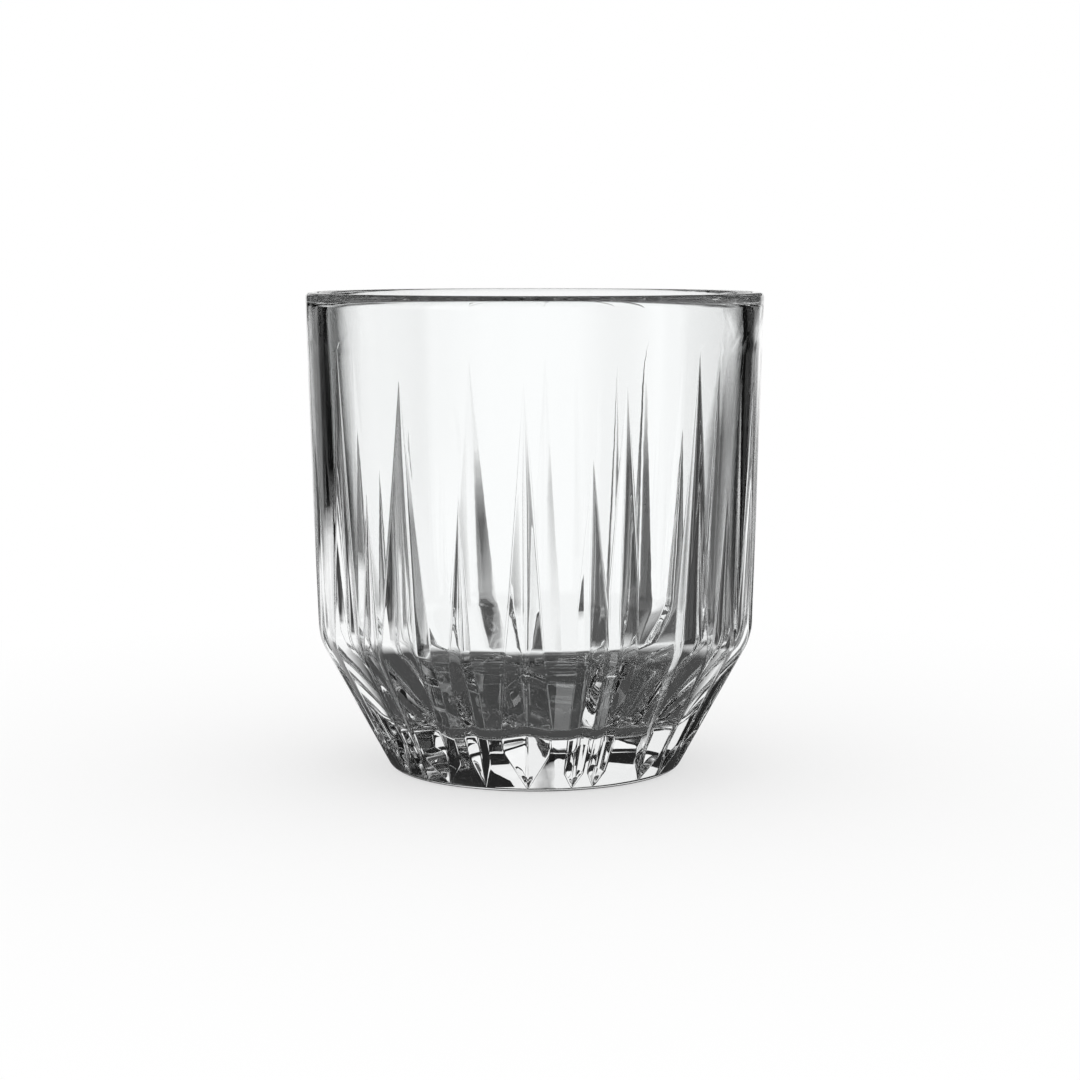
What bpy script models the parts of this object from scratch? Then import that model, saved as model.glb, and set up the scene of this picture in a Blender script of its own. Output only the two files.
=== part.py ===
"""Whisky tumbler of pressed clear glass, with pointed flutes of unlike height round its shoulder.

The glass is one solid. Lengths are in metres and angles in degrees. It stands on z = 0 with its axis
on Z, and its front is towards -Y.
"""

from math import ceil, cos, radians, sqrt, tan

import bmesh
import bpy
from mathutils import Vector

# Outside of the glass
HEIGHT = 0.0900
SHOULDER_RADIUS = 0.0412
SHOULDER_HEIGHT = 0.0254
RIM_FLARE = 0.0018
FOOT_RADIUS = 0.0273
STANDING_RING = 0.0032
PUSH_UP = 0.0014

# Thickness of the glass: across the wall at the rim and at the shoulder, and of the floor and round it
RIM_WALL = 0.0036
SHOULDER_WALL = 0.0046
FLOOR_THICKNESS = 0.0115
BASE_WALL = 0.0091

# The inside turns in at a knee just above the shoulder, and runs down as a cone to the floor
KNEE_RISE = 0.0010

# Radii of the rounded edges. The lip is fuller on the inside, where the plunger drew the glass up
LIP_OUTSIDE_ROUND = 0.0009
LIP_INSIDE_ROUND = 0.0026
SHOULDER_ROUND = 0.0095
FOOT_ROUND = 0.0022
KNEE_ROUND = 0.0060
INNER_ROUND = 0.0060

# Flutes: V-shaped cuts that widen from a point on the wall, over the shoulder and on down the chamfer
# until they meet their neighbours, and then close to a blunt point above the foot
FLUTE_SLOPE = 28.0
FLUTE_LEAST_GLASS = 0.0015
FLUTE_LEAST_LAND = 0.0007
FLUTE_BROADEST_HEIGHT = 0.0090
FLUTE_BROADEST_SHARE = 1.3
FLUTE_END_HEIGHT = 0.0008
FLUTE_MARGIN = 0.0020
TALLEST = 0.0800
TALL = 0.0755
MIDDLE = 0.0620
SHORT = 0.0535
BROAD = 0.0112
WIDE = 0.0090
MEDIUM = 0.0072
NARROW = 0.0042

# Each flute: its angle from the front, positive towards +X, the height of its tip, and its width at the
# shoulder, in order round the glass
FLUTES = (
    (-160.3, TALL, BROAD),
    (-138.3, MIDDLE, NARROW),
    (-125.5, SHORT, NARROW),
    (-113.3, MIDDLE, WIDE),
    (-98.0, TALL, MEDIUM),
    (-85.0, MIDDLE, WIDE),
    (-71.0, SHORT, NARROW),
    (-56.3, TALLEST, WIDE),
    (-45.5, SHORT, NARROW),
    (-34.0, TALL, BROAD),
    (-18.7, SHORT, NARROW),
    (-2.6, TALL, MEDIUM),
    (13.9, MIDDLE, MEDIUM),
    (22.2, TALL, MEDIUM),
    (43.0, TALLEST, WIDE),
    (55.8, SHORT, MEDIUM),
    (70.0, TALL, WIDE),
    (83.0, SHORT, NARROW),
    (95.0, MIDDLE, MEDIUM),
    (110.0, TALL, WIDE),
    (130.0, MIDDLE, MEDIUM),
    (145.7, TALLEST, MEDIUM),
    (155.0, TALL, NARROW),
    (177.0, TALL, MEDIUM),
)

# Fineness of the mesh
TURN_STEPS = 96
ARC_STEP = 15.0
ARC_SHARE = 0.98
DOME_STEPS = 4
MERGE = 0.00001

GLASS_COLOUR = (0.97, 0.98, 0.98, 1.0)
GLASS_ROUGHNESS = 0.02
GLASS_IOR = 1.52


def rounded(corners):
    """The points of a line of (radius, height, rounding) corners, with an arc at each rounded one."""
    places = [Vector((radius, height)) for radius, height, _ in corners]
    half_turns = [0.0] * len(corners)
    reaches = [0.0] * len(corners)
    for i, (_, _, rounding) in enumerate(corners):
        if rounding > 0:
            back = places[i - 1] - places[i]
            half_turns[i] = (radians(180) - back.angle(places[i + 1] - places[i])) / 2
            reaches[i] = rounding * tan(half_turns[i])
    points = []
    for i, corner in enumerate(places):
        if reaches[i] == 0:
            points.append(corner)
            continue
        back = places[i - 1] - corner
        ahead = places[i + 1] - corner
        # Two arcs that need more than the straight between them share most of it
        back_share = ARC_SHARE * back.length * reaches[i] / (reaches[i] + reaches[i - 1])
        ahead_share = ARC_SHARE * ahead.length * reaches[i] / (reaches[i] + reaches[i + 1])
        reach = min(reaches[i], back_share, ahead_share)
        arc_radius = reach / tan(half_turns[i])
        bisector = (back.normalized() + ahead.normalized()).normalized()
        centre = corner + bisector * arc_radius / cos(half_turns[i])
        first = (corner + back.normalized() * reach - centre).normalized()
        last = (corner + ahead.normalized() * reach - centre).normalized()
        steps = max(2, ceil(2 * half_turns[i] / radians(ARC_STEP)))
        points += [centre + arc_radius * first.slerp(last, k / steps) for k in range(steps + 1)]
    return points


def wall_radius(height):
    """Outer radius of the wall between shoulder and rim."""
    share = (height - SHOULDER_HEIGHT) / (HEIGHT - SHOULDER_HEIGHT)
    return SHOULDER_RADIUS + RIM_FLARE * share


def chamfer_radius(height):
    """Outer radius of the chamfer between foot and shoulder."""
    return FOOT_RADIUS + (SHOULDER_RADIUS - FOOT_RADIUS) * height / SHOULDER_HEIGHT


def inner_radius(height):
    """Radius of the straight inside wall between knee and rim."""
    share = (height - SHOULDER_HEIGHT) / (HEIGHT - SHOULDER_HEIGHT)
    return wall_radius(height) - SHOULDER_WALL - (RIM_WALL - SHOULDER_WALL) * share


def glass_profile():
    """Half section of the glass, from the middle of its floor over the rim to the middle of its underside."""
    floor_radius = chamfer_radius(FLOOR_THICKNESS) - BASE_WALL
    knee_height = SHOULDER_HEIGHT + KNEE_RISE
    ring_inside = FOOT_RADIUS - STANDING_RING
    section = rounded(
        [
            (0, FLOOR_THICKNESS, 0),
            (floor_radius, FLOOR_THICKNESS, INNER_ROUND),
            (inner_radius(knee_height), knee_height, KNEE_ROUND),
            (inner_radius(HEIGHT), HEIGHT, LIP_INSIDE_ROUND),
            (wall_radius(HEIGHT), HEIGHT, LIP_OUTSIDE_ROUND),
            (SHOULDER_RADIUS, SHOULDER_HEIGHT, SHOULDER_ROUND),
            (FOOT_RADIUS, 0, FOOT_ROUND),
            (ring_inside, 0, 0),
        ]
    )
    for k in range(1, DOME_STEPS + 1):
        radius = ring_inside * (1 - k / DOME_STEPS)
        section.append(Vector((radius, PUSH_UP * (1 - (radius / ring_inside) ** 2))))
    return section


def turned(name, section):
    """A solid of revolution about Z, from a half section at +X that runs down its outer side."""
    shape = bmesh.new()
    verts = [shape.verts.new((point.x, 0, point.y)) for point in section]
    for above, below in zip(verts, verts[1:]):
        shape.edges.new((above, below))
    mesh = bpy.data.meshes.new(name)
    shape.to_mesh(mesh)
    shape.free()
    piece = bpy.data.objects.new(name, mesh)
    turn = piece.modifiers.new("Turn", "SCREW")
    turn.steps = TURN_STEPS
    turn.render_steps = TURN_STEPS
    turn.use_merge_vertices = True
    turn.merge_threshold = MERGE
    turn.use_smooth_shade = True
    return piece


def flute_room(number):
    """The angle that a flute may take to each side, sharing the way to its neighbours by their widths."""
    angle, _, width = FLUTES[number]
    rooms = []
    for other_angle, _, other_width in (FLUTES[number - 1], FLUTES[(number + 1) % len(FLUTES)]):
        turn = abs(angle - other_angle)
        rooms.append(min(turn, 360 - turn) * width / (width + other_width))
    return radians(min(rooms))


def cut_across(place, outwards, half):
    """The outer end, the left and right ends and the bottom of a V, where it crosses a place on the surface."""
    slope = tan(radians(FLUTE_SLOPE))
    # The glass is round, so its surface falls away from the flute's middle to its edges
    sag = place.x - sqrt(place.x**2 - half**2)
    depth = min(half * slope + sag, SHOULDER_WALL - FLUTE_LEAST_GLASS)
    bottom = place - outwards * depth
    edge = bottom + outwards * (half + FLUTE_MARGIN) * slope
    beside = Vector((0, half + FLUTE_MARGIN, 0))
    return edge + outwards * FLUTE_MARGIN, edge + beside, edge - beside, bottom


def flute_cutter(name, angle, tip_height, width, room):
    """A long wedge bent round the shoulder, with a point at each end: its inner edge is the bottom of the V."""
    tip = Vector((wall_radius(tip_height), 0, tip_height))
    shoulder = Vector((SHOULDER_RADIUS, 0, SHOULDER_HEIGHT))
    broadest = Vector((chamfer_radius(FLUTE_BROADEST_HEIGHT), 0, FLUTE_BROADEST_HEIGHT))
    end = Vector((chamfer_radius(FLUTE_END_HEIGHT), 0, FLUTE_END_HEIGHT))
    up_wall = (tip - shoulder).normalized()
    down_chamfer = (end - shoulder).normalized()
    # Outwards across the shoulder, halfway between the wall and the chamfer
    over_shoulder = -(up_wall + down_chamfer).normalized()
    off_chamfer = Vector((-down_chamfer.z, 0, down_chamfer.x))
    half_at_shoulder = min(width / 2, room * shoulder.x - FLUTE_LEAST_LAND / 2)
    half_broadest = min(width / 2 * FLUTE_BROADEST_SHARE, room * broadest.x - FLUTE_LEAST_LAND / 2)
    corners = {(0, 0, 1): tip, (0, 0, -1): end}
    for level, place, outwards, half in (
        (1, shoulder, over_shoulder, half_at_shoulder),
        (-1, broadest, off_chamfer, half_broadest),
    ):
        outer, left, right, bottom = cut_across(place, outwards, half)
        corners[1, 0, level] = outer
        corners[0, 1, level] = left
        corners[0, -1, level] = right
        corners[-1, 0, level] = bottom
    shape = bmesh.new()
    bmesh.ops.create_uvsphere(shape, u_segments=4, v_segments=3, radius=1)
    for vert in shape.verts:
        level = 1 if vert.co.z > 0 else -1
        vert.co = corners[round(vert.co.x), round(vert.co.y), level]
    mesh = bpy.data.meshes.new(name)
    shape.to_mesh(mesh)
    shape.free()
    cutter = bpy.data.objects.new(name, mesh)
    cutter.rotation_euler.z = radians(angle - 90)
    cutter.hide_render = True
    cutter.display_type = "WIRE"
    return cutter


def clear_glass():
    """Pressed soda-lime glass, fire-polished."""
    material = bpy.data.materials.new("clear_glass")
    material.use_nodes = True
    shader = material.node_tree.nodes["Principled BSDF"]
    shader.inputs["Base Color"].default_value = GLASS_COLOUR
    shader.inputs["Roughness"].default_value = GLASS_ROUGHNESS
    shader.inputs["Metallic"].default_value = 0.0
    shader.inputs["IOR"].default_value = GLASS_IOR
    shader.inputs["Transmission Weight"].default_value = 1.0
    return material


for old in list(bpy.data.objects):
    bpy.data.objects.remove(old)

glassware = bpy.data.collections.new("whisky_tumbler")
cutters = bpy.data.collections.new("flute_cutters")
bpy.context.scene.collection.children.link(glassware)
bpy.context.scene.collection.children.link(cutters)

tumbler = turned("glass_tumbler", glass_profile())
tumbler.data.materials.append(clear_glass())
glassware.objects.link(tumbler)

for number, (flute_angle, flute_tip, flute_width) in enumerate(FLUTES):
    cutter_name = f"flute_{number + 1:02d}"
    cutters.objects.link(flute_cutter(cutter_name, flute_angle, flute_tip, flute_width, flute_room(number)))

flutes = tumbler.modifiers.new("Flutes", "BOOLEAN")
flutes.operation = "DIFFERENCE"
flutes.solver = "EXACT"
flutes.operand_type = "COLLECTION"
flutes.collection = cutters
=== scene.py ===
from math import acos, ceil, cos, pi, radians, sin, tan

import bpy
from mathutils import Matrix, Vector


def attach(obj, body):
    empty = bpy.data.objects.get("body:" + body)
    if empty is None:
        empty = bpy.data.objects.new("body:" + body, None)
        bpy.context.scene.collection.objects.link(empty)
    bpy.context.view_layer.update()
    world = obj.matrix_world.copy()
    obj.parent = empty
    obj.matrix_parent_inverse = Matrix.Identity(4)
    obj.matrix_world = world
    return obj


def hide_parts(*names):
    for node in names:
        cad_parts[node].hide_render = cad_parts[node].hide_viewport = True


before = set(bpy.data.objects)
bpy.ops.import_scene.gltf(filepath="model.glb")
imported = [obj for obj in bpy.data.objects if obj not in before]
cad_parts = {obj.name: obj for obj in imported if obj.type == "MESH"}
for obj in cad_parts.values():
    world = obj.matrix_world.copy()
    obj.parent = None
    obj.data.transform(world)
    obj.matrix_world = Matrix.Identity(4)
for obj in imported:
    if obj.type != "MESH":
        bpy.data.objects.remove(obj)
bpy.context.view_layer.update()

# Glass tumbler
# One gob of clear soda-lime glass, pressed into a fluted mould by a smooth plunger and fire-polished.
# Its half section is turned about the axis, and each flute is pressed into the outside as a soft V.

HEIGHT = 0.0900
RIM_RADIUS = 0.0430
SHOULDER_RADIUS = 0.0412
SHOULDER_HEIGHT = 0.0254
FOOT_RADIUS = 0.0273
STANDING_RING = 0.0032
PUSH_UP = 0.0014
RIM_WALL = 0.0036
SHOULDER_WALL = 0.0046
FLOOR_THICKNESS = 0.0115
LIP_OUTSIDE_ROUND = 0.0009
LIP_INSIDE_ROUND = 0.0026
SHOULDER_ROUND = 0.0095
FOOT_ROUND = 0.0022
INNER_ROUND = 0.0060
INNER_FOOT_RADIUS = 0.0245
INNER_KNEE_HEIGHT = 0.0264
INNER_KNEE_ROUND = 0.0060

FLUTE_SLOPE = 28.0
FLUTE_END_HEIGHT = 0.0008
FLUTE_BROADEST_HEIGHT = 0.0090
FLUTE_BROADEST_SHARE = 1.3
FLUTE_EDGE_SOFT = 0.00012
FLUTE_VALLEY_SOFT = 0.0003
FLUTE_BORDER = 0.00035
TALLEST = 0.0800
TALL = 0.0755
MIDDLE = 0.0620
SHORT = 0.0535
BROAD = 0.0112
WIDE = 0.0090
MEDIUM = 0.0072
NARROW = 0.0042

# The most that the soft edge, the soft valley and each bend may take of half a flute's width
EDGE_SOFT_SHARE = 0.1
VALLEY_SOFT_SHARE = 0.2
BEND_SHARE = 0.3

# Each flute: its angle from the front, positive towards +X, the height of its tip, and its width
FLUTES = (
    (-160.3, TALL, BROAD),
    (-138.3, MIDDLE, NARROW),
    (-125.5, SHORT, NARROW),
    (-113.3, MIDDLE, WIDE),
    (-98.0, TALL, MEDIUM),
    (-85.0, MIDDLE, WIDE),
    (-71.0, SHORT, NARROW),
    (-56.3, TALLEST, WIDE),
    (-45.5, SHORT, NARROW),
    (-34.0, TALL, BROAD),
    (-18.7, SHORT, NARROW),
    (-2.6, TALL, MEDIUM),
    (13.9, MIDDLE, MEDIUM),
    (22.2, TALL, MEDIUM),
    (43.0, TALLEST, WIDE),
    (55.8, SHORT, MEDIUM),
    (70.0, TALL, WIDE),
    (83.0, SHORT, NARROW),
    (95.0, MIDDLE, MEDIUM),
    (110.0, TALL, WIDE),
    (130.0, MIDDLE, MEDIUM),
    (145.7, TALLEST, MEDIUM),
    (155.0, TALL, NARROW),
    (177.0, TALL, MEDIUM),
)

# How finely the mesh follows the shape. Of the columns from the bottom of a V to its edge, the first share
# lies in the valley, those up to the second on the flat face, and the rest round the edge.
ARC_ERROR = 0.000006
WALL_STEP = 0.0015
FLAT_STEP = 0.0040
FLUTE_COLUMNS = 20
LAND_COLUMNS = 6
VALLEY_ENDS = 0.25
FACE_ENDS = 0.55
SEAM_MERGE = 1e-7


def inner_radius(height):
    """Radius of the straight inside wall, which tapers from the rim and on down past the shoulder."""
    at_rim = RIM_RADIUS - RIM_WALL
    at_shoulder = SHOULDER_RADIUS - SHOULDER_WALL
    share = (height - SHOULDER_HEIGHT) / (HEIGHT - SHOULDER_HEIGHT)
    return at_shoulder + (at_rim - at_shoulder) * share


def half_section():
    """(point, step) pairs from the middle of the floor, over the lip, to the standing ring's inside.

    The step is the length that the straight up to that point is split into.
    """
    corners = (
        (0, FLOOR_THICKNESS, 0, FLAT_STEP),
        (INNER_FOOT_RADIUS, FLOOR_THICKNESS, INNER_ROUND, FLAT_STEP),
        (inner_radius(INNER_KNEE_HEIGHT), INNER_KNEE_HEIGHT, INNER_KNEE_ROUND, FLAT_STEP),
        (inner_radius(HEIGHT), HEIGHT, LIP_INSIDE_ROUND, FLAT_STEP),
        (RIM_RADIUS, HEIGHT, LIP_OUTSIDE_ROUND, FLAT_STEP),
        (SHOULDER_RADIUS, SHOULDER_HEIGHT, SHOULDER_ROUND, WALL_STEP),
        (FOOT_RADIUS, 0, FOOT_ROUND, WALL_STEP),
        (FOOT_RADIUS - STANDING_RING, 0, 0, FLAT_STEP),
    )
    marks = []
    for i, (radius, height, rounding, step) in enumerate(corners):
        corner = Vector((radius, height))
        if rounding == 0:
            marks.append((corner, step))
            continue
        back = (Vector(corners[i - 1][:2]) - corner).normalized()
        ahead = (Vector(corners[i + 1][:2]) - corner).normalized()
        half_turn = (pi - back.angle(ahead)) / 2
        centre = corner + (back + ahead).normalized() * rounding / cos(half_turn)
        reach = rounding * tan(half_turn)
        first = (corner + back * reach - centre).normalized()
        last = (corner + ahead * reach - centre).normalized()
        turns = ceil(half_turn / acos(1 - ARC_ERROR / rounding))
        for k in range(turns + 1):
            on_arc = centre + rounding * first.slerp(last, k / turns)
            marks.append((on_arc, step if k == 0 else rounding))
    return marks


rows = []
for mark, step in half_section():
    start = rows[-1] if rows else mark
    pieces = max(1, round((mark - start).length / step))
    rows += [start.lerp(mark, k / pieces) for k in range(1, pieces + 1)]
ring_inside = FOOT_RADIUS - STANDING_RING
dome_pieces = round(ring_inside / FLAT_STEP)
for k in range(1, dome_pieces + 1):
    dome_radius = ring_inside * (1 - k / dome_pieces)
    rows.append(Vector((dome_radius, PUSH_UP * (1 - (dome_radius / ring_inside) ** 2))))

# Each row of the section also holds its inward direction, whether flutes cut it, and how far its columns
# are evened out, fully inside the glass and under it, and more and more from the tallest tip to the lip
section = bpy.data.meshes.new("half_section")
section.from_pydata([(row.x, 0, row.y) for row in rows], [(k, k + 1) for k in range(len(rows) - 1)], [])
lip_row = max(range(len(rows)), key=lambda k: rows[k].y)
inwards = []
fluted = []
even = []
for k, row in enumerate(rows):
    along = rows[min(k + 1, len(rows) - 1)] - rows[max(k - 1, 0)]
    inwards.extend(Vector((along.y, 0, -along.x)).normalized())
    outside = k > lip_row and row.x > ring_inside
    fluted.append(float(outside and row.y > FLUTE_END_HEIGHT))
    clear = (row.y - TALLEST) / (HEIGHT - LIP_OUTSIDE_ROUND - TALLEST)
    even.append(min(max(clear, 0), 1) if outside else 1.0)
section.attributes.new("inwards", "FLOAT_VECTOR", "POINT").data.foreach_set("vector", inwards)
section.attributes.new("fluted", "FLOAT", "POINT").data.foreach_set("value", fluted)
section.attributes.new("even", "FLOAT", "POINT").data.foreach_set("value", even)

# The angle that each flute may take to either side, sharing the way to its neighbours by their widths
flute_room = []
for k, (placed, _, width) in enumerate(FLUTES):
    rooms = []
    for next_placed, _, next_width in (FLUTES[k - 1], FLUTES[(k + 1) % len(FLUTES)]):
        apart = abs(placed - next_placed)
        rooms.append(min(apart, 360 - apart) * width / (width + next_width))
    flute_room.append(radians(min(rooms)))

flute_points = bpy.data.meshes.new("flutes")
flute_points.from_pydata([(0, 0, 0)] * len(FLUTES), [], [])
for name, values in (
    ("angle", [radians(placed) for placed, _, _ in FLUTES]),
    ("tip", [tip for _, tip, _ in FLUTES]),
    ("half_width", [width / 2 for _, _, width in FLUTES]),
    ("room", flute_room),
):
    flute_points.attributes.new(name, "FLOAT", "POINT").data.foreach_set("value", values)
flute_table = bpy.data.objects.new("flute_table", flute_points)
bpy.context.scene.collection.objects.link(flute_table)


def add(tree, kind, *values, **settings):
    """Adds a node with its settings, and fills its inputs in order with links or values.

    Gives back the node's first output.
    """
    node = tree.nodes.new(kind)
    for name, setting in settings.items():
        setattr(node, name, setting)
    for socket, value in zip([s for s in node.inputs if s.enabled], values):
        if isinstance(value, bpy.types.NodeSocket):
            tree.links.new(value, socket)
        elif value is not None:
            socket.default_value = value
    shown = [s for s in node.outputs if s.enabled]
    return shown[0] if shown else None


turning = bpy.data.node_groups.new("turned_and_fluted", "GeometryNodeTree")
turning_inputs = {}
for name, kind in (
    ("Section", "NodeSocketGeometry"),
    ("Flutes", "NodeSocketObject"),
    ("Flute columns", "NodeSocketInt"),
    ("Land columns", "NodeSocketInt"),
    ("Shoulder height", "NodeSocketFloat"),
    ("End height", "NodeSocketFloat"),
    ("Broadest height", "NodeSocketFloat"),
    ("Broadest share", "NodeSocketFloat"),
    ("Least radius", "NodeSocketFloat"),
    ("Slope", "NodeSocketFloat"),
    ("Edge softness", "NodeSocketFloat"),
    ("Valley softness", "NodeSocketFloat"),
    ("Border", "NodeSocketFloat"),
    ("Glass", "NodeSocketMaterial"),
):
    turning_inputs[name] = turning.interface.new_socket(name, in_out="INPUT", socket_type=kind)
turning.interface.new_socket("Tumbler", in_out="OUTPUT", socket_type="NodeSocketGeometry")
given = turning.nodes.new("NodeGroupInput").outputs

# A flat sheet of points: each row of it is a row of the section, and each flute has a sector of columns
flute_list = add(turning, "GeometryNodeObjectInfo", given["Flutes"]).node.outputs["Geometry"]
row_count = add(turning, "GeometryNodeAttributeDomainSize", given["Section"])
flute_count = add(turning, "GeometryNodeAttributeDomainSize", flute_list)
sector = add(turning, "ShaderNodeMath", given["Flute columns"], given["Land columns"], operation="ADD")
column_count = add(turning, "ShaderNodeMath", sector, flute_count, operation="MULTIPLY")
grid_columns = add(turning, "ShaderNodeMath", column_count, 1.0, operation="ADD")
sheet = add(turning, "GeometryNodeMeshGrid", 1.0, 1.0, grid_columns, row_count)

index = add(turning, "GeometryNodeInputIndex")
row_number = add(turning, "FunctionNodeIntegerMath", index, row_count, operation="MODULO")
column = add(turning, "FunctionNodeIntegerMath", index, row_count, operation="DIVIDE_FLOOR")
sector_number = add(turning, "FunctionNodeIntegerMath", column, sector, operation="DIVIDE_FLOOR")
in_sector = add(turning, "FunctionNodeIntegerMath", column, sector, operation="MODULO")


def stored(geometry, name, number, kind="FLOAT"):
    """The value stored under a name on one point of a geometry."""
    value = add(turning, "GeometryNodeInputNamedAttribute", name, data_type=kind)
    return add(turning, "GeometryNodeSampleIndex", geometry, value, number, data_type=kind)


row_place = add(
    turning,
    "GeometryNodeSampleIndex",
    given["Section"],
    add(turning, "GeometryNodeInputPosition"),
    row_number,
    data_type="FLOAT_VECTOR",
)
row_parts = add(turning, "ShaderNodeSeparateXYZ", row_place).node.outputs
row_radius = row_parts["X"]
row_height = row_parts["Z"]
arc_radius = add(turning, "ShaderNodeMath", row_radius, given["Least radius"], operation="MAXIMUM")


def flute_sides(counted):
    """A flute's angle, counted on past a full turn, and half its width at this row's height."""
    number = add(turning, "FunctionNodeIntegerMath", counted, flute_count, operation="MODULO")
    lap = add(turning, "FunctionNodeIntegerMath", counted, flute_count, operation="DIVIDE_FLOOR")
    in_lap = stored(flute_list, "angle", number)
    angle_on = add(turning, "ShaderNodeMath", lap, 2 * pi, in_lap, operation="MULTIPLY_ADD")
    rise = add(
        turning,
        "ShaderNodeMapRange",
        row_height,
        stored(flute_list, "tip", number),
        given["Shoulder height"],
        0.0,
        1.0,
        clamp=False,
    )
    stop = add(
        turning,
        "ShaderNodeMapRange",
        row_height,
        given["End height"],
        given["Broadest height"],
        0.0,
        given["Broadest share"],
    )
    share = add(turning, "ShaderNodeMath", rise, stop, operation="MINIMUM")
    share = add(turning, "ShaderNodeMath", share, 0.0, operation="MAXIMUM")
    at_shoulder = stored(flute_list, "half_width", number)
    half = add(turning, "ShaderNodeMath", share, at_shoulder, operation="MULTIPLY")
    free_angle = stored(flute_list, "room", number)
    free = add(turning, "ShaderNodeMath", free_angle, arc_radius, operation="MULTIPLY")
    free = add(turning, "ShaderNodeMath", free, given["Border"], operation="SUBTRACT")
    half = add(turning, "ShaderNodeMath", half, free, operation="MINIMUM")
    return angle_on, half


flute_angle, flute_half = flute_sides(sector_number)
next_sector = add(turning, "FunctionNodeIntegerMath", sector_number, 1, operation="ADD")
next_angle, next_half = flute_sides(next_sector)

# Columns crowd at the bottom of the V and at its two edges, where the surface bends
across = add(turning, "ShaderNodeMapRange", in_sector, 0.0, given["Flute columns"], -1.0, 1.0)
share_across = add(turning, "ShaderNodeMath", across, operation="ABSOLUTE")
side = add(turning, "ShaderNodeMath", across, operation="SIGN")
bend = add(turning, "ShaderNodeMath", flute_half, BEND_SHARE, operation="MULTIPLY")
bend = add(turning, "ShaderNodeMath", bend, given["Border"], operation="MINIMUM")
twice_bend = add(turning, "ShaderNodeMath", bend, 2.0, operation="MULTIPLY")
face = add(turning, "ShaderNodeMath", flute_half, twice_bend, operation="SUBTRACT")
rim_of_flute = add(turning, "ShaderNodeMath", bend, given["Border"], operation="ADD")
near_valley = add(turning, "ShaderNodeMapRange", share_across, 0.0, VALLEY_ENDS, 0.0, bend)
on_face = add(turning, "ShaderNodeMapRange", share_across, VALLEY_ENDS, FACE_ENDS, 0.0, face)
near_edge = add(turning, "ShaderNodeMapRange", share_across, FACE_ENDS, 1.0, 0.0, rim_of_flute)
away = add(turning, "ShaderNodeMath", near_valley, on_face, operation="ADD")
away = add(turning, "ShaderNodeMath", away, near_edge, operation="ADD")
signed_away = add(turning, "ShaderNodeMath", away, side, operation="MULTIPLY")

# The land between two flutes is shared out evenly
land_share = add(turning, "ShaderNodeMapRange", in_sector, given["Flute columns"], sector, 0.0, 1.0)
both_halves = add(turning, "ShaderNodeMath", flute_half, next_half, operation="ADD")
with_borders = add(
    turning, "ShaderNodeMath", given["Border"], 2.0, both_halves, operation="MULTIPLY_ADD"
)
flutes_angle = add(turning, "ShaderNodeMath", with_borders, arc_radius, operation="DIVIDE")
pitch = add(turning, "ShaderNodeMath", next_angle, flute_angle, operation="SUBTRACT")
land_angle = add(turning, "ShaderNodeMath", pitch, flutes_angle, operation="SUBTRACT")
away_angle = add(turning, "ShaderNodeMath", signed_away, arc_radius, operation="DIVIDE")
angle = add(turning, "ShaderNodeMath", land_share, land_angle, flute_angle, operation="MULTIPLY_ADD")
angle = add(turning, "ShaderNodeMath", angle, away_angle, operation="ADD")
even_share = add(turning, "ShaderNodeMath", column, column_count, operation="DIVIDE")
first_angle = stored(flute_list, "angle", 0)
even_angle = add(turning, "ShaderNodeMath", even_share, 2 * pi, first_angle, operation="MULTIPLY_ADD")
row_even = stored(given["Section"], "even", row_number)
angle = add(turning, "ShaderNodeMix", row_even, angle, even_angle, data_type="FLOAT")

# Depth of the V, softened at the bottom and at the edges, and less so towards its sharp tip
away_squared = add(turning, "ShaderNodeMath", away, away, operation="MULTIPLY")
soft_valley = add(turning, "ShaderNodeMath", flute_half, VALLEY_SOFT_SHARE, operation="MULTIPLY")
soft_valley = add(turning, "ShaderNodeMath", soft_valley, given["Valley softness"], operation="MINIMUM")
soft_squared = add(turning, "ShaderNodeMath", soft_valley, 2.0, operation="POWER")
soft_away = add(turning, "ShaderNodeMath", away_squared, soft_squared, operation="ADD")
soft_away = add(turning, "ShaderNodeMath", soft_away, operation="SQRT")
below_edge = add(turning, "ShaderNodeMath", flute_half, soft_away, operation="SUBTRACT")
depth = add(turning, "ShaderNodeMath", below_edge, given["Slope"], operation="MULTIPLY")
soft_edge = add(turning, "ShaderNodeMath", flute_half, EDGE_SOFT_SHARE, operation="MULTIPLY")
soft_edge = add(turning, "ShaderNodeMath", soft_edge, given["Edge softness"], operation="MINIMUM")
depth = add(turning, "ShaderNodeMath", depth, 0.0, soft_edge, operation="SMOOTH_MAX")
row_fluted = stored(given["Section"], "fluted", row_number)
depth = add(turning, "ShaderNodeMath", depth, row_fluted, operation="MULTIPLY")
inward = stored(given["Section"], "inwards", row_number, "FLOAT_VECTOR")
pressed_in = add(turning, "ShaderNodeVectorMath", inward, operation="SCALE")
turning.links.new(depth, pressed_in.node.inputs["Scale"])
pressed = add(turning, "ShaderNodeVectorMath", row_place, pressed_in, operation="ADD")

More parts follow.
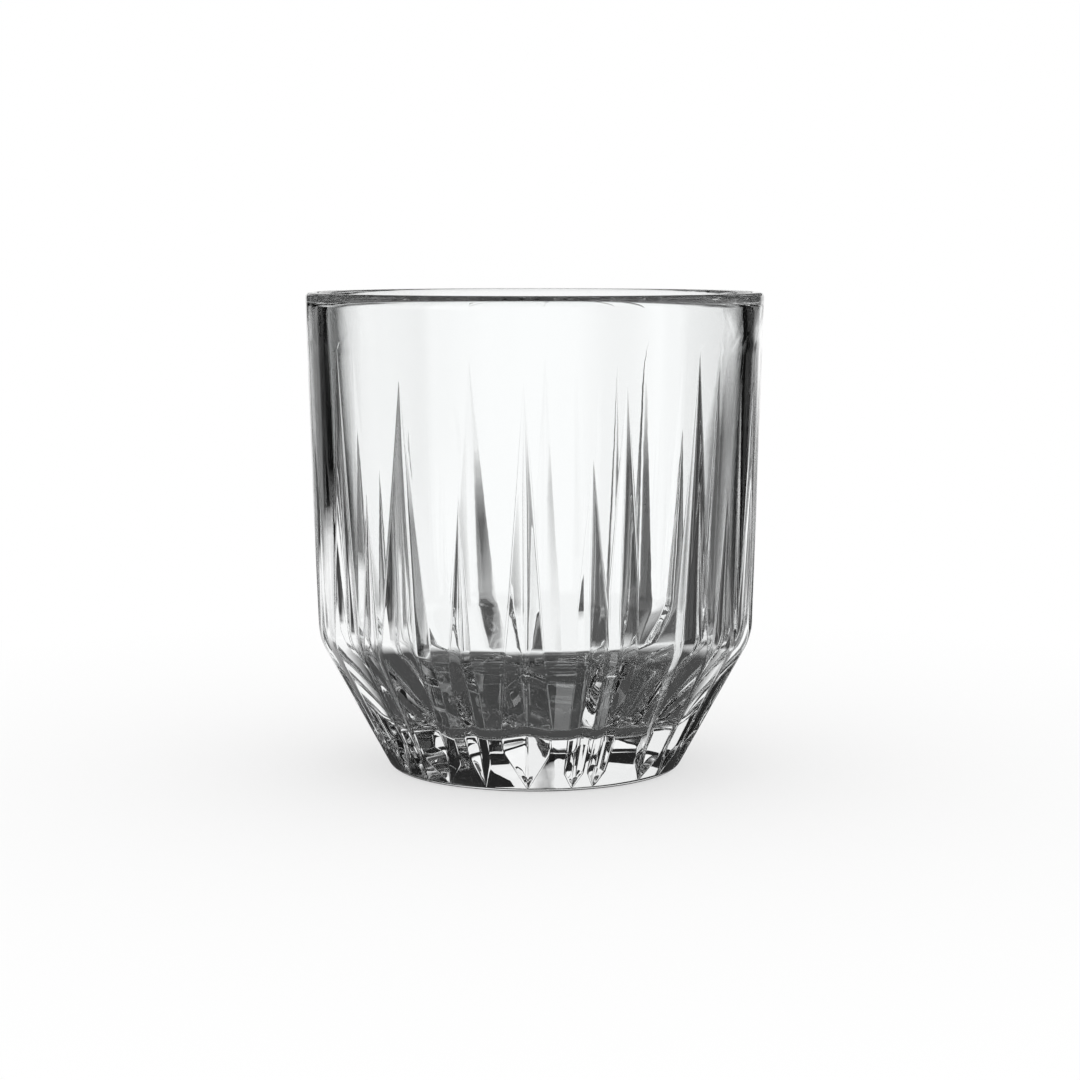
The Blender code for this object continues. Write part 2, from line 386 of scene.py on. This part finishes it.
# Round the axis: angle 0 is the front, at -Y
quarter_back = add(turning, "ShaderNodeMath", angle, pi / 2, operation="SUBTRACT")
about_axis = add(turning, "ShaderNodeCombineXYZ", 0.0, 0.0, quarter_back)
turned_place = add(turning, "ShaderNodeVectorRotate", pressed, rotation_type="EULER_XYZ")
turning.links.new(about_axis, turned_place.node.inputs["Rotation"])
shell = add(turning, "GeometryNodeSetPosition", sheet, None, turned_place)
shell = add(turning, "GeometryNodeMergeByDistance", shell, None, SEAM_MERGE)
shell = add(turning, "GeometryNodeFlipFaces", shell)
shell = add(turning, "GeometryNodeSetShadeSmooth", shell)
shell = add(turning, "GeometryNodeRealizeInstances", shell)
shell = add(turning, "GeometryNodeSetMaterial", shell, None, given["Glass"])
turning.links.new(shell, turning.nodes.new("NodeGroupOutput").inputs[0])


def linear(hex_colour):
    """An sRGB hex colour as linear red, green, blue and alpha."""
    shades = [int(hex_colour[k : k + 2], 16) / 255 for k in (1, 3, 5)]
    return [s / 12.92 if s <= 0.04045 else ((s + 0.055) / 1.055) ** 2.4 for s in shades] + [1.0]


# Clear soda-lime glass, fire-polished after pressing: colourless and bright, with the faint waves that the
# cold mould leaves under the polish, about 9 mm apart, and a pressed surface's finer ripple of about 2 mm.
# Years on table tops have scuffed the lowest half millimetre of the foot to a fine matt.
GLASS_COLOUR = "#FDFEFE"
GLASS_IOR = 1.52
WAVE_SIZE = 0.009
WAVE_DEPTH = 0.000012
RIPPLE_SIZE = 0.002
RIPPLE_DEPTH = 0.000002
WAVE_DETAIL = 1.0
WAVE_GAIN = 0.5
SCUFF_HEIGHT = 0.0005
SCUFF_SIZE = 0.0012
SCUFF_DETAIL = 2.0
SCUFF_GAIN = 0.6
SCUFF_BEGINS = 0.4
SCUFF_FULL = 0.7
SCUFF_ROUGHNESS = 0.25

pressed_glass = bpy.data.materials.new("pressed_soda_lime_glass")
pressed_glass.use_nodes = True
glass_tree = pressed_glass.node_tree
glass_shader = glass_tree.nodes["Principled BSDF"]
glass_shader.inputs["Base Color"].default_value = linear(GLASS_COLOUR)
glass_shader.inputs["IOR"].default_value = GLASS_IOR
glass_shader.inputs["Transmission Weight"].default_value = 1.0
on_glass = add(glass_tree, "ShaderNodeTexCoord").node.outputs["Object"]
waves = add(glass_tree, "ShaderNodeTexNoise", on_glass, 1 / WAVE_SIZE, WAVE_DETAIL, WAVE_GAIN)
ripple = add(glass_tree, "ShaderNodeTexNoise", on_glass, 1 / RIPPLE_SIZE, WAVE_DETAIL, WAVE_GAIN)
wavy = add(glass_tree, "ShaderNodeBump", 1.0, WAVE_DEPTH, None, waves)
rippled = add(glass_tree, "ShaderNodeBump", 1.0, RIPPLE_DEPTH, None, ripple, wavy)
glass_tree.links.new(rippled, glass_shader.inputs["Normal"])
above_table = add(glass_tree, "ShaderNodeSeparateXYZ", on_glass).node.outputs["Z"]
at_foot = add(glass_tree, "ShaderNodeMapRange", above_table, SCUFF_HEIGHT, 0.0, 0.0, 1.0)
scratches = add(glass_tree, "ShaderNodeTexNoise", on_glass, 1 / SCUFF_SIZE, SCUFF_DETAIL, SCUFF_GAIN)
scuffs = add(glass_tree, "ShaderNodeMapRange", scratches, SCUFF_BEGINS, SCUFF_FULL, 0.0, SCUFF_ROUGHNESS)
scuffed = add(glass_tree, "ShaderNodeMath", at_foot, scuffs, operation="MULTIPLY")
glass_tree.links.new(scuffed, glass_shader.inputs["Roughness"])

tumbler = bpy.data.objects.new("pressed_tumbler", section)
bpy.context.scene.collection.objects.link(tumbler)
turn_and_flute = tumbler.modifiers.new("Turn and flute", "NODES")
turn_and_flute.node_group = turning
for name, value in (
    ("Flutes", flute_table),
    ("Flute columns", FLUTE_COLUMNS),
    ("Land columns", LAND_COLUMNS),
    ("Shoulder height", SHOULDER_HEIGHT),
    ("End height", FLUTE_END_HEIGHT),
    ("Broadest height", FLUTE_BROADEST_HEIGHT),
    ("Broadest share", FLUTE_BROADEST_SHARE),
    ("Least radius", ring_inside),
    ("Slope", tan(radians(FLUTE_SLOPE))),
    ("Edge softness", FLUTE_EDGE_SOFT),
    ("Valley softness", FLUTE_VALLEY_SOFT),
    ("Border", FLUTE_BORDER),
    ("Glass", pressed_glass),
):
    turn_and_flute[turning_inputs[name].identifier] = value
graph = bpy.context.evaluated_depsgraph_get()
glass_mesh = bpy.data.meshes.new_from_object(tumbler.evaluated_get(graph))
tumbler.modifiers.remove(turn_and_flute)
tumbler.data = glass_mesh
bpy.data.objects.remove(flute_table)
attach(tumbler, "root")
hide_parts("glass_tumbler")

# Table top
# A plain sheet of white acrylic that lies under the glass, wide enough to run out of every view.
# To the camera it is white with the glass's soft shadow. The glass itself sees it as an even white glow,
# with a painted shadow: a dark grey patch painted round the foot and shifted a little towards the front.

FLOOR_RADIUS = 4.0
FLOOR_SIDES = 96
FLOOR_GAP = 0.00005
SHADOW_NEAR = 0.04
SHADOW_FAR = 0.20
SHADOW_GLOW = 0.6
# The painted shadow that the glass sees: full inside the first distance and gone past the second, measured
# from a point this far in front of the axis
PAINTED_SHADOW_INSIDE = 0.055
PAINTED_SHADOW_OUTSIDE = 0.085
PAINTED_SHADOW_FORWARD = 0.018
SHEET_COLOUR = "#F7F7F7"
SHEET_LIT = "#FFFFFF"
# Colour of the painted shadow round the foot
SHEET_PAINTED_SHADOW = "#4A4A4A"

bpy.ops.mesh.primitive_circle_add(
    vertices=FLOOR_SIDES, radius=FLOOR_RADIUS, fill_type="NGON", location=(0, 0, -FLOOR_GAP)
)
table_top = bpy.context.object
table_top.name = "table_top"

# Matt acrylic has no gloss: the camera gets an even white that only the real shadow breaks, and the glass
# gets a painted shadow round the foot
white_sheet = bpy.data.materials.new("white_sheet_with_painted_shadow")
white_sheet.use_nodes = True
sheet_tree = white_sheet.node_tree
sheet_tree.nodes.clear()
rays = add(sheet_tree, "ShaderNodeLightPath").node.outputs
seen_in_glass = add(
    sheet_tree, "ShaderNodeMath", rays["Is Glossy Ray"], rays["Is Transmission Ray"], operation="MAXIMUM"
)
place = add(sheet_tree, "ShaderNodeTexCoord").node.outputs["Object"]
from_foot = add(sheet_tree, "ShaderNodeVectorMath", place, operation="LENGTH").node.outputs["Value"]
camera_glow = add(sheet_tree, "ShaderNodeMapRange", from_foot, SHADOW_NEAR, SHADOW_FAR, SHADOW_GLOW, 1.0)
glow_share = add(sheet_tree, "ShaderNodeMath", rays["Is Camera Ray"], camera_glow, operation="MULTIPLY")
glow_share = add(sheet_tree, "ShaderNodeMath", glow_share, seen_in_glass, operation="MAXIMUM")
# Painted shadow, for rays seen in the glass only: the glow turns dark grey round the foot, though no lamp
# casts it
from_painted_shadow = add(sheet_tree, "ShaderNodeVectorMath", place, (0.0, PAINTED_SHADOW_FORWARD, 0.0), operation="ADD")
from_axis = add(sheet_tree, "ShaderNodeVectorMath", from_painted_shadow, operation="LENGTH").node.outputs["Value"]
lit = add(sheet_tree, "ShaderNodeMapRange", from_axis, PAINTED_SHADOW_INSIDE, PAINTED_SHADOW_OUTSIDE, 0.0, 1.0)
seen_directly = add(sheet_tree, "ShaderNodeMath", 1.0, seen_in_glass, operation="SUBTRACT")
lit = add(sheet_tree, "ShaderNodeMath", lit, seen_directly, operation="MAXIMUM")
sheet_glow_painted_shadow = add(
    sheet_tree, "ShaderNodeMix", lit, linear(SHEET_PAINTED_SHADOW), linear(SHEET_LIT), data_type="RGBA"
)
matt = add(sheet_tree, "ShaderNodeBsdfDiffuse", linear(SHEET_COLOUR))
glow = add(sheet_tree, "ShaderNodeEmission", sheet_glow_painted_shadow, 1.0)
both = add(sheet_tree, "ShaderNodeMixShader", glow_share, matt, glow)
add(sheet_tree, "ShaderNodeOutputMaterial", both)
white_sheet.cycles.emission_sampling = "NONE"
table_top.data.materials.append(white_sheet)

# Black flags
# Sheets of black net that lie on the table round the glass and thin out at their edges. Most turn up at the
# far side, and one runs on flat and thins out there.
# Only the glass sees them: they draw its edges and its flutes dark, as in a bright-field photograph.

FLAG_FAR = 0.60
FLAG_TOP = 0.30
FLAG_FADE = 1.30
FLAG_LIFT = 0.00005
FLAG_STEP = 3.0
NET_COLOUR = "#0C0C0C"

# Each flag: the angles that it starts and ends at, from the back and positive towards +X, the angle over
# which it thins out at either side, the distances at which it begins and at which it is full, whether it
# turns up at its far side, and whether the outside of the glass mirrors it
FLAGS = (
    (14.0, 32.0, 5.0, 0.068, 0.085, False, True),
    (27.0, 66.0, 5.0, 0.068, 0.085, True, True),
    (60.0, 114.0, 6.0, 0.068, 0.085, True, False),
    (-36.0, -18.0, 6.0, 0.130, 0.190, True, True),
    (-70.0, -30.0, 6.0, 0.290, 0.350, True, True),
    (-81.0, -54.0, 6.0, 0.120, 0.190, True, True),
    (-155.0, -100.0, 20.0, 0.280, 0.420, True, False),
)

# Cotton net, dyed black: nearly black where its threads lie close, and clear where they thin out
black_net = bpy.data.materials.new("black_net")
black_net.use_nodes = True
net_tree = black_net.node_tree
net_tree.nodes.clear()
thread_share = add(net_tree, "ShaderNodeAttribute", attribute_name="closeness").node.outputs["Fac"]
holes = add(net_tree, "ShaderNodeBsdfTransparent")
threads = add(net_tree, "ShaderNodeEmission", linear(NET_COLOUR), 1.0)
net = add(net_tree, "ShaderNodeMixShader", thread_share, holes, threads)
add(net_tree, "ShaderNodeOutputMaterial", net)
black_net.cycles.emission_sampling = "NONE"

for number, (start, end, feather, begins, full, turned_up, mirrored) in enumerate(FLAGS, start=1):
    lift = FLAG_LIFT * number
    far_side = (FLAG_FAR, FLAG_TOP, 1) if turned_up else (FLAG_FADE, lift, 0)
    arcs = ((begins, lift, 0), (full, lift, 1), (FLAG_FAR, lift, 1), far_side)
    steps = ceil((end - start) / FLAG_STEP)
    corners = []
    closeness = []
    for k in range(steps + 1):
        from_start = (end - start) * k / steps
        inset = min(from_start / feather, (end - start - from_start) / feather, 1.0)
        flag_turn = radians(start + from_start)
        for reach, height, share in arcs:
            corners.append((reach * sin(flag_turn), reach * cos(flag_turn), height))
            closeness.append(share * inset)
    panes = []
    for k in range(steps):
        for near in range(len(arcs) * k, len(arcs) * (k + 1) - 1):
            panes.append((near, near + 1, near + 1 + len(arcs), near + len(arcs)))
    flag_mesh = bpy.data.meshes.new(f"black_flag_{number}")
    flag_mesh.from_pydata(corners, [], panes)
    flag_mesh.attributes.new("closeness", "FLOAT", "POINT").data.foreach_set("value", closeness)
    flag_mesh.materials.append(black_net)
    flag = bpy.data.objects.new(f"black_flag_{number}", flag_mesh)
    bpy.context.scene.collection.objects.link(flag)
    flag.visible_camera = False
    flag.visible_diffuse = False
    flag.visible_glossy = mirrored
    flag.visible_shadow = False

# Softboxes
# Frames covered with white diffuser cloth, a low one behind the glass and three higher ones at its sides.
# Only the glass sees them: they light up its thick base.

BOX_DISTANCE = 1.0
CLOTH_COLOUR = "#F8F8F8"

# Each softbox: the angles that it starts and ends at, from the back and positive towards +X, and the
# heights of its lower and upper edges, as angles above the table
SOFTBOXES = (
    (-28.0, 12.0, 11.0, 22.0),
    (74.0, 106.0, 18.0, 45.0),
    (119.0, 151.0, 18.0, 45.0),
    (-106.0, -74.0, 18.0, 45.0),
)

# White cloth lit from behind: an even white, without a hot spot
diffuser = bpy.data.materials.new("white_diffuser_cloth")
diffuser.use_nodes = True
diffuser_tree = diffuser.node_tree
diffuser_tree.nodes.clear()
lit_cloth = add(diffuser_tree, "ShaderNodeEmission", linear(CLOTH_COLOUR), 1.0)
add(diffuser_tree, "ShaderNodeOutputMaterial", lit_cloth)
diffuser.cycles.emission_sampling = "NONE"

for number, (start, end, low, high) in enumerate(SOFTBOXES, start=1):
    corners = []
    for around, rise in ((start, low), (end, low), (end, high), (start, high)):
        box_turn = radians(around)
        reach = BOX_DISTANCE * cos(radians(rise))
        height = BOX_DISTANCE * sin(radians(rise))
        corners.append((reach * sin(box_turn), reach * cos(box_turn), height))
    box_mesh = bpy.data.meshes.new(f"softbox_{number}")
    box_mesh.from_pydata(corners, [], [(0, 1, 2, 3)])
    box_mesh.materials.append(diffuser)
    box = bpy.data.objects.new(f"softbox_{number}", box_mesh)
    bpy.context.scene.collection.objects.link(box)
    box.visible_camera = False
    box.visible_diffuse = False
    box.visible_shadow = False

# Studio light
# A room with matt white walls, which lights the table evenly from all round.
# Seen in the glass it is white near the table and dark above, where the walls aren't lit.

ROOM_LIT = "#FFFFFF"
ROOM_UNLIT = "#202020"

# Where the dark begins and where it is full, as the sine of the angle above the table
UNLIT_FROM = 0.085
UNLIT_FULL = 0.095

studio = bpy.data.worlds.new("white_studio")
bpy.context.scene.world = studio
studio.use_nodes = True
studio_tree = studio.node_tree
studio_tree.nodes.clear()
studio_rays = add(studio_tree, "ShaderNodeLightPath").node.outputs
in_glass = add(
    studio_tree,
    "ShaderNodeMath",
    studio_rays["Is Glossy Ray"],
    studio_rays["Is Transmission Ray"],
    operation="MAXIMUM",
)
direction = add(studio_tree, "ShaderNodeTexCoord").node.outputs["Generated"]
upward = add(studio_tree, "ShaderNodeSeparateXYZ", direction).node.outputs["Z"]
above = add(studio_tree, "ShaderNodeMapRange", upward, UNLIT_FROM, UNLIT_FULL, 0.0, 1.0)
unlit = add(studio_tree, "ShaderNodeMath", above, in_glass, operation="MULTIPLY")
walls = add(studio_tree, "ShaderNodeMix", unlit, linear(ROOM_LIT), linear(ROOM_UNLIT), data_type="RGBA")
add(studio_tree, "ShaderNodeOutputWorld", add(studio_tree, "ShaderNodeBackground", walls, 1.0))

# Camera
# A small-format camera with an 86 mm lens, half a metre in front of the glass.
# It stands a little higher than the rim and is tilted down, as in the photograph.

CAMERA_DISTANCE = 0.486
CAMERA_HEIGHT = 0.0985
CAMERA_TILT = 6.51
CAMERA_PAN = -0.114
LENS = 85.8
SENSOR_WIDTH = 36.0

camera_data = bpy.data.cameras.new("camera")
camera_data.lens = LENS
camera_data.sensor_width = SENSOR_WIDTH
camera = bpy.data.objects.new("camera", camera_data)
camera.location = (0, -CAMERA_DISTANCE, CAMERA_HEIGHT)
camera.rotation_euler = (radians(90 - CAMERA_TILT), 0, radians(CAMERA_PAN))
bpy.context.scene.collection.objects.link(camera)
bpy.context.scene.camera = camera
bpy.context.scene.view_settings.view_transform = "Standard"

# Light crosses the glass and is mirrored inside it many times, so its paths are long
BOUNCES_THROUGH = 32
BOUNCES_MIRRORED = 16

scene_cycles = bpy.context.scene.cycles
scene_cycles.max_bounces = BOUNCES_THROUGH
scene_cycles.transmission_bounces = BOUNCES_THROUGH
scene_cycles.glossy_bounces = BOUNCES_MIRRORED
